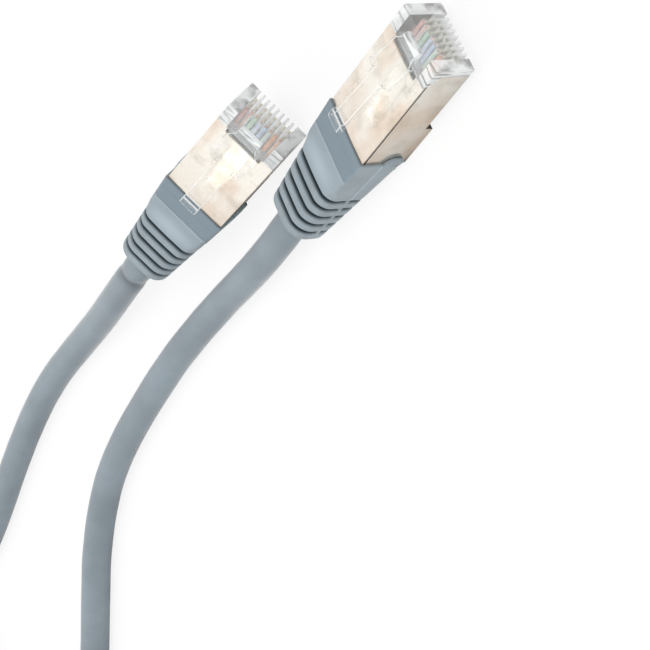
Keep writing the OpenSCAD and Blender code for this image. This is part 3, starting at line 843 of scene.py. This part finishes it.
def boot_stations():
    """Where the boot's rings stand along it: close together where an edge is rounded."""
    first = PLUG_L + 0.15
    count = round((COLLAR_Y - first) / 0.1)
    body = [first + (COLLAR_Y - first) * k / count for k in range(count + 1)]
    return [PLUG_L, PLUG_L + 0.03, PLUG_L + 0.08, *body, COLLAR_Y + 0.02, COLLAR_Y + 0.2,
        BOOT_END - 0.12, BOOT_END]


def boot_skin(s):
    """The boot's outer rings, each point's inward direction, and its marks for the grooves, the band and the
    painted highlights.
    """
    rows, inward = [], []
    marks = {"free": [], "band": [], "crown": [], "line": []}
    for y in boot_stations():
        w = boot_sizes(y)[0]
        edge = max(FRONT_ROUND - (y - PLUG_L), 0)
        inset = FRONT_ROUND - math.sqrt(max(FRONT_ROUND ** 2 - edge ** 2, 0))
        if y > BOOT_END - 0.1:
            inset = COLLAR_INSET
        band = 1 - eased((y - BAND_END + 0.1) / 0.2)
        ledge = LEDGE * (1 - eased((y - LEDGE_Y) / 0.12))
        swell = s.crown / MM * eased((y - BAND_END) / 2) * (1 - eased((y - CROWN_FADE_Y) / 3))
        ahead = 1 - eased((y - GROOVE_START + 0.4) / 0.4)
        gleam = math.exp(-((y - GLEAM_Y) / GLEAM_L) ** 2)
        band_line = math.exp(-((y - BAND_END - 0.2) / 0.12) ** 2)
        row = []
        for x, z, nx, nz, free in boot_ring(y):
            upward = max(nz, 0) ** 2
            middle = 1 - (x / w) ** 2
            lift = upward * (swell * middle - band * (s.band_step / MM + ledge))
            row.append((x - nx * inset, y, z - nz * inset + lift))
            inward.append((-nx, 0, -nz))
            marks["free"].append(free if y < COLLAR_Y else 0)
            marks["band"].append(upward * band * 0.85)
            # Painted highlight on the crown, brightest at GLEAM_Y in the middle of the upper side
            marks["crown"].append(upward * (1 - band) * ahead * (0.1 + 0.9 * gleam * max(middle, 0)))
            # Painted highlight lines: along the parting line on the sides and along the band's back edge on
            # top
            parting = nz == 0 and abs(z - PARTING_Z) < 0.05
            marks["line"].append(0.55 * ahead * parting + 0.4 * upward * band_line)
        rows.append(row)
    return rows, inward, marks


def boot_inside(outline):
    """The boot's inner rings: the plug's outline, room for the crimped ring and the cable's hole."""
    turns = [math.atan2(z, x) for x, _, z in outline]

    def plug(y):
        return [(min(max(x, -PLUG_W / 2), PLUG_W / 2), y, min(max(z, -HALF_H - HEEL_DROP), HALF_H))
            for x, _, z in outline]

    def hole(y, radius):
        return [(radius * math.cos(a), y, radius * math.sin(a)) for a in turns]

    return [plug(PLUG_L), plug(SHIELD_END), hole(SHIELD_END, CRIMP_ROOM_R), hole(CRIMP_END, CRIMP_ROOM_R),
        hole(CRIMP_END, CABLE_HOLE_R), hole(BOOT_END, CABLE_HOLE_R)]


def boot_mesh(s):
    """The boot's outer and inner skins in plug millimetres, before its grooves are pressed in."""
    rows, inward, marks = boot_skin(s)
    inside = boot_inside(rows[0])
    all_rows = rows + inside[::-1]
    points = [p for row in all_rows for p in row]
    n, total = len(rows[0]), len(all_rows)
    faces = []
    for i in range(total):
        j = (i + 1) % total
        for k in range(n):
            m = (k + 1) % n
            faces.append((i * n + k, j * n + k, j * n + m, i * n + m))
    extra = n * len(inside) + add_tongues(points, faces)
    inward += [(0, 0, 0)] * extra
    mesh = bpy.data.meshes.new("boot")
    mesh.from_pydata(points, [], faces)
    mesh.update()
    kept = mesh.attributes.new("inward", "FLOAT_VECTOR", "POINT")
    kept.data.foreach_set("vector", [c for v in inward for c in v])
    for name, values in marks.items():
        kept = mesh.attributes.new(name, "FLOAT", "POINT")
        kept.data.foreach_set("value", values + [0.0] * extra)
    with edited(mesh) as bm:
        bmesh.ops.recalc_face_normals(bm, faces=bm.faces)
    return mesh


def add_tongues(points, faces):
    """Rounded tongues that reach forward over the plug's sides. Returns how many points they add."""
    before = len(points)

    def side_x(y, z):
        w, low, _, r, _ = boot_sizes(max(y, PLUG_L))
        down = max(low + r - z, 0)
        return w + TONGUE_PROUD - r + math.sqrt(max(r * r - down * down, 0))

    def outline(shrink):
        r = TONGUE_R - shrink
        turns = [math.radians(a) for a in range(0, 181, 10)]
        tip = [(TONGUE_Y - r * math.sin(a), TONGUE_Z + r * math.cos(a)) for a in turns]
        return tip + [(TONGUE_END, TONGUE_Z - r), (TONGUE_END, TONGUE_Z), (TONGUE_END, TONGUE_Z + r)]

    size, last = len(outline(0)), len(TONGUE_RINGS) - 1
    for sign in (1, -1):
        first = len(points)
        for shrink, depth in TONGUE_RINGS:
            for y, z in outline(shrink):
                z = max(z, TONGUE_LOW)
                points.append((sign * (side_x(y, z) + depth), y, z))
        for ring in range(last):
            a = first + ring * size
            for k in range(size):
                m = (k + 1) % size
                faces.append((a + k, a + size + k, a + size + m, a + m))
        for ring in (0, last):
            faces.append(tuple(first + ring * size + k for k in range(size)))
    return len(points) - before


def groove_tree():
    """Presses evenly spaced grooves into a skin along its stored inward direction."""
    tree, given, out = geometry_tree("boot_grooves", (("Start", "Float"), ("Pitch", "Float"),
        ("Width", "Float"), ("Edge", "Float"), ("Depth", "Float"), ("Count", "Int"),
        ("Material", "Material")))
    where = add_node(tree, "GeometryNodeInputPosition").outputs[0]
    y = add_node(tree, "ShaderNodeSeparateXYZ", {0: where}).outputs["Y"]
    turn = maths(tree, "DIVIDE", maths(tree, "SUBTRACT", y, given["Start"]), given["Pitch"])
    from_first = maths(tree, "GREATER_THAN", turn, -0.1)
    inside = maths(tree, "MULTIPLY", from_first, maths(tree, "LESS_THAN", turn, given["Count"]))
    local = maths(tree, "MULTIPLY", maths(tree, "FRACT", turn), given["Pitch"])
    middle = maths(tree, "MULTIPLY", given["Width"], 0.5)
    away = maths(tree, "SUBTRACT", maths(tree, "ABSOLUTE", maths(tree, "SUBTRACT", local, middle)), middle)
    wall_foot = maths(tree, "MULTIPLY", given["Edge"], -0.7)
    wall_top = maths(tree, "MULTIPLY", given["Edge"], 0.3)
    depth = ranged(tree, away, wall_foot, wall_top, 1.0, 0.0)
    depth = maths(tree, "MULTIPLY", maths(tree, "MULTIPLY", depth, inside), stored(tree, "free"))
    # Keeps how deep each point lies in a groove, for the painted shade there
    skin = store(tree, given["Geometry"], "groove_shade_depth", depth)
    push = maths(tree, "MULTIPLY", depth, given["Depth"])
    end_tree(tree, pushed(tree, skin, stored(tree, "inward", "FLOAT_VECTOR"), push), given, out)
    return tree


class PATCHCABLE_OT_boots(bpy.types.Operator):
    """Makes the ribbed boot of each plug"""
    bl_idname = "patchcable.boots"
    bl_label = "Boots"

    def execute(self, context):
        s = context.scene.patch_cable.boot
        mesh = run_tree(boot_mesh(s), groove_tree(), {"Start": GROOVE_START, "Pitch": s.groove_pitch / MM,
            "Width": s.groove_width / MM, "Edge": s.groove_edge / MM, "Depth": s.groove_depth / MM,
            "Count": s.groove_count, "Material": boot_material(s)})
        smooth_shading(mesh, BOOT_FOLD_ANGLE)
        for plug in PLUGS:
            own = mesh.copy()
            own.transform(plug_place(plug))
            new_piece("moulded_boot_" + plug, own, "cable", ("boot_" + plug,))
        return {"FINISHED"}


# ---- Plugs ----

def cut_seam(mesh, place, width):
    """Sinks a narrow gap into one side wall of the shield and paints shade into it and onto the heel's front
    face.

    It also keeps how far along the plug each point is, for the plating's tint.
    """
    mesh.transform(place.inverted())
    wall_x = -PLUG_W / 2
    bottom = SEAM_TOP - width

    def wall():
        return [f for f in bm.faces if f.normal.x < -0.98 and abs(f.calc_center_median().x - wall_x) < 0.02]

    with edited(mesh) as bm:
        for height in (bottom, SEAM_TOP):
            faces = wall()
            # Unlike a set, a dict keeps its keys in order, so each run gives the same mesh
            edges = dict.fromkeys(e for f in faces for e in f.edges)
            verts = dict.fromkeys(v for f in faces for v in f.verts)
            cut(bm, (0, 0, height), (0, 0, 1), [*faces, *edges, *verts])
        gap = [f for f in wall() if bottom < f.calc_center_median().z < SEAM_TOP]
        sunk = bmesh.ops.extrude_discrete_faces(bm, faces=gap)["faces"]
        bmesh.ops.translate(bm, verts=[v for f in sunk for v in f.verts], vec=(SEAM_DEPTH, 0, 0))
        bm.normal_update()
        for f in bm.faces:
            c = f.calc_center_median()
            in_gap = bottom - 1e-3 <= c.z <= SEAM_TOP + 1e-3 and 0.01 < c.x - wall_x < SEAM_DEPTH + 0.04
            on_heel = f.normal.y < -0.9 and c.z < -HALF_H - 0.1 and abs(c.y - HEEL_FRONT) < 0.5
            # Painted shade in the sunk gap and on the heel's front face
            if in_gap or on_heel:
                f.material_index = GAP_SHADE_SLOT
    along = mesh.attributes.new("along", "FLOAT", "POINT")
    for v in mesh.vertices:
        along.data[v.index].value = v.co.y / PLUG_L
    mesh.transform(place)


class PATCHCABLE_OT_shields(bpy.types.Operator):
    """Makes the folded metal shield of each plug"""
    bl_idname = "patchcable.shields"
    bl_label = "Shields"

    def execute(self, context):
        s = context.scene.patch_cable.plug
        steel, gap = steel_material(s), gap_shade_material()
        for plug in PLUGS:
            mesh = node_copy("shield_" + plug, s.sheet_edge)
            give_material(mesh, steel, gap)
            cut_seam(mesh, plug_place(plug), s.seam / MM)
            smooth_shading(mesh, FOLD_ANGLE)
            new_piece("folded_shield_" + plug, mesh, "cable", ("shield_" + plug,))
        return {"FINISHED"}


class PATCHCABLE_OT_noses(bpy.types.Operator):
    """Makes the clear nose of each plug"""
    bl_idname = "patchcable.noses"
    bl_label = "Noses"

    def execute(self, context):
        s = context.scene.patch_cable.plug
        clear = clear_material("clear_plastic", s, roughness=0.04, milk=0.55, cover=0.38, ior=1.2, coat=0.6)
        comb = clear_material("clear_comb", s, roughness=0.06, milk=0.85, cover=0.42, ior=1.2, coat=0.4)
        edge = shared("clear_edge", edge_material, s)
        frost = shared("clear_frost_and_streaks", frost_and_streak_material, s)
        for plug in PLUGS:
            place = plug_place(plug)
            mesh = node_copy("housing_" + plug, s.nose_edge, edge_slot=EDGE_SLOT)
            give_material(mesh, clear, edge, frost, comb)
            mesh.transform(place.inverted())
            with edited(mesh) as bm:
                for side in (-WINDOW_HALF_W, WINDOW_HALF_W):
                    cut(bm, (side, 0, 0), (1, 0, 0))
                cut(bm, (0, 0, COMB_TOP), (0, 0, 1))
                for face in bm.faces:
                    at = face.calc_center_median()
                    if face.material_index or at.y >= NOSE_FINISH_END:
                        continue
                    # The flanks take the frosted finish with its painted grey streaks
                    if abs(at.x) > FLANK_X or (abs(at.x) > WINDOW_HALF_W and at.z > FLANK_Z):
                        face.material_index = FROST_SLOT
                    elif at.z < COMB_TOP:
                        face.material_index = COMB_SLOT
            mesh.transform(place)
            smooth_shading(mesh, FOLD_ANGLE)
            new_piece("clear_nose_" + plug, mesh, "cable", ("housing_" + plug,))
        return {"FINISHED"}


class PATCHCABLE_OT_latches(bpy.types.Operator):
    """Makes the clear latch of each plug, grown from its nose"""
    bl_idname = "patchcable.latches"
    bl_label = "Latches"

    def execute(self, context):
        s = context.scene.patch_cable.plug
        clear = clear_material("clear_latch", s, roughness=0.03, milk=0.03, cover=0.22, ior=1.12, coat=0.3)
        edge = shared("clear_edge", edge_material, s)
        frost = shared("clear_frost_and_streaks", frost_and_streak_material, s)
        bend_cut = (BEND_END - 0.05 - BEND_START) / (BEND_CUTS - 1)
        for plug in PLUGS:
            place = plug_place(plug)
            mesh = node_copy("latch_" + plug, s.latch_edge, segments=3, edge_slot=EDGE_SLOT)
            give_material(mesh, clear, edge, frost)
            mesh.transform(place.inverted())
            with edited(mesh) as bm:
                for v in bm.verts:
                    if v.co.z < ROOT_UNDERSIDE and ROOT_FRONT < v.co.y < ROOT_BACK:
                        v.co.z -= ROOT_SINK
                for k in range(BEND_CUTS):
                    cut(bm, (0, 0, BEND_START + k * bend_cut), (0, 0, 1))
                for face in bm.faces:
                    # The root's faces take the frosted finish with its painted grey streaks
                    if face.material_index == 0 and face.calc_center_median().y < ROOT_FINISH_END:
                        face.material_index = FROST_SLOT
            mesh.transform(place)
            smooth_shading(mesh, FOLD_ANGLE)
            piece = new_piece("clear_latch_" + plug, mesh, None, ("latch_" + plug,))
            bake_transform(piece)
        return {"FINISHED"}


class PATCHCABLE_OT_finishes(bpy.types.Operator):
    """Gives the parts that keep their solid shape their materials"""
    bl_idname = "patchcable.finishes"
    bl_label = "Finishes"

    def execute(self, context):
        s = context.scene.patch_cable
        looks = {"contacts": metal_material("gold_contact", tuple(s.plug.gold), 0.5, metallic=0.55),
            "copper_cores": metal_material("bare_copper", (0.85, 0.45, 0.28), 0.3),
            "drain_wire": metal_material("tinned_copper", (0.72, 0.7, 0.66), 0.3),
            "wire_spacer": clear_material("clear_spacer", s.plug, roughness=0.3, milk=0.8, cover=0.6),
            "foil_wrap": foil_material(), "jacket_end": shared("cable_jacket", jacket_material, s.cable)}
        for name, m in looks.items():
            for plug in PLUGS:
                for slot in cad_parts[f"{name}_{plug}"].material_slots:
                    slot.material = m
        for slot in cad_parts["coil_tie"].material_slots:
            slot.material = tie_material(s.cable)
        return {"FINISHED"}


# ---- Stage ----

def floor_material(s):
    """A pale matt floor that the camera sees as near white, with its shadows kept, and with painted shade
    where mirroring surfaces see it.
    """
    m, tree, shader = new_material("floor", Roughness=0.6, Specular_IOR_Level=0.3)
    rays = add_node(tree, "ShaderNodeLightPath").outputs
    shade = mixed(tree, noise(tree, 30, 2), scaled(s.floor, 0.995), tuple(s.floor))
    # Painted shade: mirroring surfaces see the floor darker than it is
    shade = mixed(tree, maths(tree, "MULTIPLY", rays["Is Glossy Ray"], 0.28), shade, (0, 0, 0))
    paint(tree, shader, shade)
    glow = add_node(tree, "ShaderNodeEmission", {"Color": (1, 1, 1, 1), "Strength": 1.0})
    through = maths(tree, "GREATER_THAN", rays["Transmission Depth"], 0.5)
    through = maths(tree, "MULTIPLY", through, maths(tree, "LESS_THAN", rays["Diffuse Depth"], 0.5))
    seen = maths(tree, "ADD", rays["Is Camera Ray"], through, True)
    mix = add_node(tree, "ShaderNodeMixShader", {0: maths(tree, "MULTIPLY", seen, 0.86)})
    out = next(n for n in tree.nodes if n.type == "OUTPUT_MATERIAL")
    tree.links.new(out.inputs["Surface"].links[0].from_socket, mix.inputs[1])
    tree.links.new(glow.outputs[0], mix.inputs[2])
    tree.links.new(mix.outputs[0], out.inputs["Surface"])
    return m


def soft_box(name, at, towards, size, watts):
    """A large lamp that the camera and mirroring surfaces don't see."""
    light = bpy.data.lights.new(name, "AREA")
    light.shape = "RECTANGLE"
    light.size, light.size_y = size
    light.energy = watts
    holder = new_object(name, light)
    holder.location = at
    holder.rotation_euler = (Vector(towards) - Vector(at)).to_track_quat("-Z", "Y").to_euler()
    holder.visible_camera = False
    holder.visible_glossy = False


class PATCHCABLE_OT_stage(bpy.types.Operator):
    """Makes the floor, the studio light and the camera"""
    bl_idname = "patchcable.stage"
    bl_label = "Stage"

    def execute(self, context):
        scene = context.scene
        s = scene.patch_cable.stage
        scene.view_settings.view_transform = "Standard"
        camera = bpy.data.cameras.new("camera")
        camera.lens = s.lens
        camera.sensor_width = 36
        camera.clip_start = 0.01
        holder = new_object("camera", camera)
        right, up = Vector(CAMERA_RIGHT), Vector(CAMERA_UP)
        turn = Matrix((right, up, right.cross(up))).transposed().to_4x4()
        holder.matrix_world = Matrix.Translation(CAMERA_AT) @ turn
        scene.camera = holder
        mesh = bpy.data.meshes.new("floor")
        corners = [(x * FLOOR_HALF, y * FLOOR_HALF, 0) for x, y in ((-1, -1), (1, -1), (1, 1), (-1, 1))]
        mesh.from_pydata(corners, [], [(0, 1, 2, 3)])
        mesh.materials.append(floor_material(s))
        floor = new_object("floor", mesh)
        soft_box("key", (0.0, 0.62, 0.5), (0, 0, 0), (0.75, 0.55), s.key)
        soft_box("top", (-0.1, -0.1, 0.9), (0, 0.05, 0), (0.9, 0.9), s.top)
        soft_box("side", (-0.5, -0.6, 0.2), (0, 0.05, 0), (0.7, 0.4), s.side)
        world = bpy.data.worlds.new("studio")
        scene.world = world
        world.use_nodes = True
        tree = world.node_tree
        plain = tree.nodes["Background"]
        plain.inputs["Color"].default_value = (1, 1, 1, 1)
        rays = add_node(tree, "ShaderNodeLightPath").outputs
        way = add_node(tree, "ShaderNodeTexCoord").outputs["Generated"]
        back = add_node(tree, "ShaderNodeSeparateXYZ", {0: way}).outputs["Y"]
        mirrored = ranged(tree, back, -0.35, 0.55, 0.62, s.mirror)
        seen = maths(tree, "ADD", rays["Is Camera Ray"], rays["Is Transmission Ray"], True)
        fill = ranged(tree, seen, 0.0, 1.0, s.fill, 1.0)
        strength = mixed_number(tree, rays["Is Glossy Ray"], fill, mirrored)
        tree.links.new(strength, plain.inputs["Strength"])
        return {"FINISHED"}


class PATCHCABLE_PT_panel(bpy.types.Panel):
    """Lists the sizes, the colours and the steps of the patch cable"""
    bl_idname = "PATCHCABLE_PT_panel"
    bl_label = "Patch Cable"
    bl_space_type = "VIEW_3D"
    bl_region_type = "UI"
    bl_category = "Patch Cable"

    def draw(self, context):
        settings = context.scene.patch_cable
        for group, kind in SETTINGS.items():
            box = self.layout.box()
            box.label(text=group.title())
            for key in kind.__annotations__:
                box.prop(getattr(settings, group), key)
        for step in STEPS:
            self.layout.operator(step.bl_idname)


STEPS = (PATCHCABLE_OT_stage, PATCHCABLE_OT_cable, PATCHCABLE_OT_boots, PATCHCABLE_OT_shields,
    PATCHCABLE_OT_noses, PATCHCABLE_OT_latches, PATCHCABLE_OT_wires, PATCHCABLE_OT_finishes)
CLASSES = (*SETTINGS.values(), PatchCableSettings, *STEPS, PATCHCABLE_PT_panel)


def register():
    for c in CLASSES:
        bpy.utils.register_class(c)
    bpy.types.Scene.patch_cable = PointerProperty(type=PatchCableSettings)


def unregister():
    del bpy.types.Scene.patch_cable
    for c in reversed(CLASSES):
        bpy.utils.unregister_class(c)


def main():
    register()
    steps = bpy.ops.patchcable
    steps.stage()
    steps.cable()
    steps.boots()
    steps.shields()
    steps.noses()
    steps.latches()
    steps.wires()
    steps.finishes()


if __name__ == "__main__":
    main()
